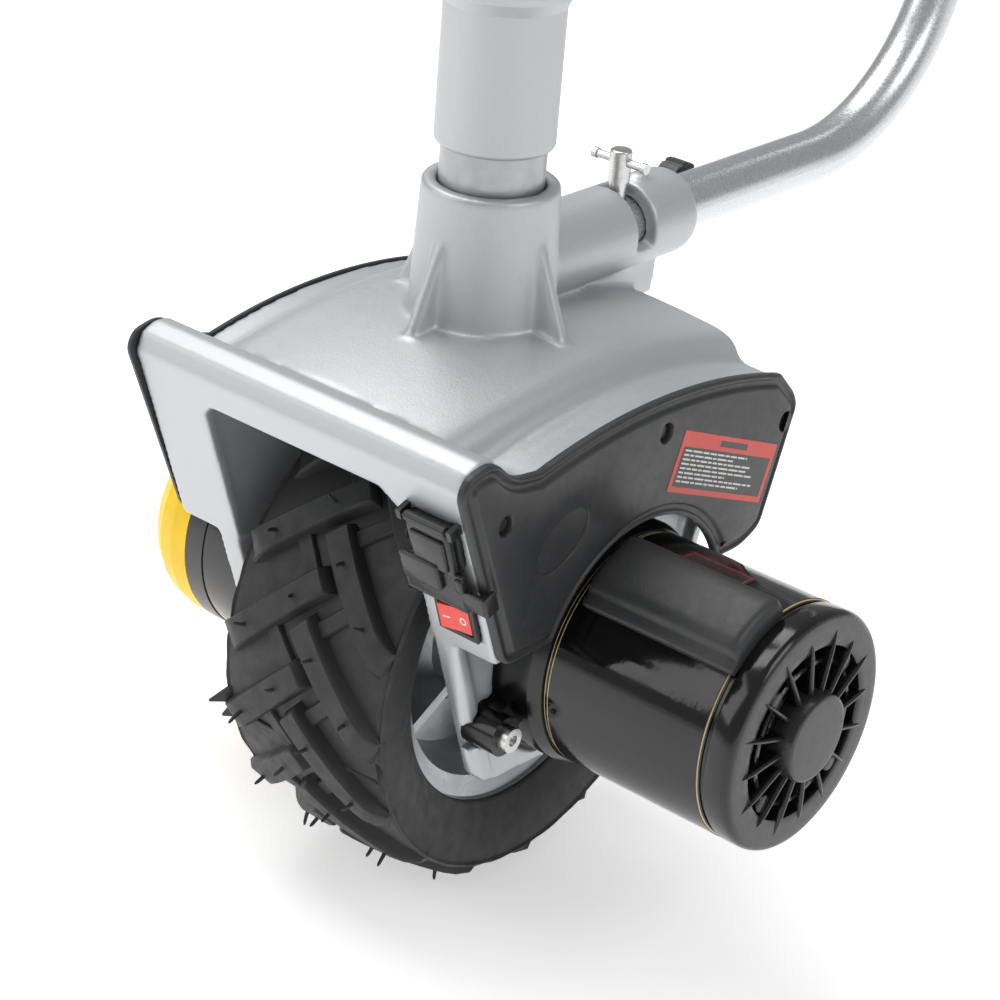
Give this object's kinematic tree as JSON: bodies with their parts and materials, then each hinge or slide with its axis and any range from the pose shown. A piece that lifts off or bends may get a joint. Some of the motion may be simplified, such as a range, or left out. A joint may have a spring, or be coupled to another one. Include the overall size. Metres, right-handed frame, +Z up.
{
  "type": "motor-driven jockey wheel",
  "caption": "Motor-driven jockey wheel: clamp column with screw jack, swivelling cast fork, geared lugged wheel, winch-type motor and a tilting steering handle.",
  "frame": {"origin": "on the column axis at the middle of the seat that the trailer clamp grips", "axes": "+Z up along the column, +X along the wheel axle towards the motor, -Y towards the front of the fork and +Y towards the handle"},
  "size_m": [0.4235, 0.6787, 0.9306],
  "materials": {
    "cast_silver": "satin silver paint over a sand-textured casting",
    "zinc_tube": "bright zinc",
    "dark_steel": "dull grey",
    "steel": "machined",
    "bronze": "machined",
    "white_nylon": "smooth",
    "black_plastic": "fine grain",
    "red_plastic": "smooth",
    "green_board": "lacquered",
    "grip_rubber": "ribbed",
    "black_cast": "gloss black paint over a casting",
    "black_paint": "gloss",
    "grey_paint": "satin",
    "yellow_plastic": "smooth",
    "cast_rim": "as cast",
    "tyre_rubber": "moulded",
    "magnet": "dull"
  },
  "bodies": {
    "column": {"lower_sleeve": "cast_silver", "tube_collar": "cast_silver", "outer_tube": "zinc_tube", "top_cap": "cast_silver", "thrust_bearing": "steel"},
    "crank": {"spindle": "steel", "crank_arm": "steel"},
    "crank_grip": {"crank_grip": "black_plastic"},
    "stem": {"spindle_nut": "bronze", "inner_tube": "dark_steel", "guide_rings": "white_nylon", "swivel_plug": "steel", "swivel_nut": "steel"},
    "fork": {"housing": "cast_silver", "inlet": "black_plastic", "flap_pin": "steel", "switch_bezel": "black_plastic", "right_cover": "black_plastic", "left_cover": "black_plastic", "cover_screws": "steel", "relay_module": "green_board", "swivel_bearing": "steel", "ring_gear": "steel", "gearbox_housing": "black_cast", "gearbox_ring": "grey_paint", "carrier_bearing": "steel", "stub_axle": "steel", "motor_drive_end": "black_cast", "ear_bolts": "steel", "motor_can": "black_paint", "motor_end_cap": "black_cast", "terminal_cover": "black_plastic", "magnets": "magnet", "brush_holder": "black_plastic", "motor_bearings": "steel"},
    "inlet_flap": {"inlet_flap": "black_plastic"},
    "rocker": {"rocker": "red_plastic"},
    "handle": {"handle_tube": "zinc_tube", "handle_grip": "grip_rubber"},
    "clamp_screw": {"clamp_screw": "steel"},
    "tommy_bar": {"tommy_bar": "steel"},
    "side_knob": {"side_knob": "black_plastic"},
    "wheel": {"planet_carrier": "steel", "wheel_rim": "cast_rim", "tyre": "tyre_rubber", "wheel_bearing": "steel"},
    "planet_1": {"planet_1": "steel"},
    "planet_2": {"planet_2": "steel"},
    "planet_3": {"planet_3": "steel"},
    "cross_shaft": {"cross_shaft": "steel", "sun_gear": "steel", "input_gear": "steel"},
    "rotor": {"armature": "steel", "motor_shaft": "steel", "commutator": "bronze", "motor_pinion": "steel"},
    "clutch_knob": {"clutch_knob": "yellow_plastic"}
  },
  "joints": [
    {"name": "crank_turn", "type": "hinge", "parent": "column", "child": "crank", "pos_m": [0, 0, 0.296], "axis": [0, 0, 1], "range_deg": [0, 20700]},
    {"name": "crank_grip_spin", "type": "hinge", "parent": "crank", "child": "crank_grip", "pos_m": [0.12, 0, 0.35], "axis": [0, 0, 1], "continuous": true},
    {"name": "column_extend", "type": "slide", "parent": "column", "child": "stem", "axis": [0, 0, -1], "range_m": [0, 0.23]},
    {"name": "swivel", "type": "hinge", "parent": "stem", "child": "fork", "pos_m": [0, 0, -0.21], "axis": [0, 0, 1], "continuous": true},
    {"name": "wheel_spin", "type": "hinge", "parent": "fork", "child": "wheel", "pos_m": [0, 0.005, -0.4055], "axis": [1, 0, 0], "continuous": true},
    {"name": "planet_1_spin", "type": "hinge", "parent": "wheel", "child": "planet_1", "pos_m": [0, 0.005, -0.3725], "axis": [1, 0, 0], "continuous": true},
    {"name": "planet_2_spin", "type": "hinge", "parent": "wheel", "child": "planet_2", "pos_m": [0, -0.02358, -0.422], "axis": [1, 0, 0], "continuous": true},
    {"name": "planet_3_spin", "type": "hinge", "parent": "wheel", "child": "planet_3", "pos_m": [0, 0.03358, -0.422], "axis": [1, 0, 0], "continuous": true},
    {"name": "cross_shaft_spin", "type": "hinge", "parent": "fork", "child": "cross_shaft", "pos_m": [0, 0.005, -0.4055], "axis": [1, 0, 0], "continuous": true},
    {"name": "rotor_spin", "type": "hinge", "parent": "fork", "child": "rotor", "pos_m": [0.15, 0.005, -0.3805], "axis": [1, 0, 0], "continuous": true},
    {"name": "clutch_turn", "type": "hinge", "parent": "fork", "child": "clutch_knob", "pos_m": [-0.15, 0.005, -0.4055], "axis": [1, 0, 0], "range_deg": [0, 60]},
    {"name": "handle_tilt", "type": "hinge", "parent": "fork", "child": "handle", "pos_m": [0, 0.1, -0.2093], "axis": [0, 1, 0], "range_deg": [0, 80]},
    {"name": "clamp_screw_turn", "type": "hinge", "parent": "handle", "child": "clamp_screw", "pos_m": [0, 0.104, -0.1893], "axis": [0, 0, 1], "range_deg": [-360, 45]},
    {"name": "tommy_bar_slide", "type": "slide", "parent": "clamp_screw", "child": "tommy_bar", "axis": [1, 0, 0], "range_m": [-0.008, 0.008]},
    {"name": "side_knob_turn", "type": "hinge", "parent": "handle", "child": "side_knob", "pos_m": [-0.02, 0.187, -0.2093], "axis": [1, 0, 0], "range_deg": [-180, 180]},
    {"name": "rocker_tilt", "type": "hinge", "parent": "fork", "child": "rocker", "pos_m": [0.088, -0.10531, -0.32861], "axis": [0, -0.3338, 0.9426], "range_deg": [-15, 0]},
    {"name": "inlet_flap_turn", "type": "hinge", "parent": "fork", "child": "inlet_flap", "pos_m": [0.085, -0.133, -0.27169], "axis": [1, 0, 0], "range_deg": [-150, 0]}
  ],
  "couplings": [
    {"joint": "column_extend", "follows": "crank_turn", "m_per_rad": 0.00063662},
    {"joint": "planet_1_spin", "follows": "wheel_spin", "ratio": -3.2},
    {"joint": "planet_2_spin", "follows": "wheel_spin", "ratio": -3.2},
    {"joint": "planet_3_spin", "follows": "wheel_spin", "ratio": -3.2},
    {"joint": "cross_shaft_spin", "follows": "wheel_spin", "ratio": 3.6667},
    {"joint": "rotor_spin", "follows": "wheel_spin", "ratio": -9.4286}
  ]
}
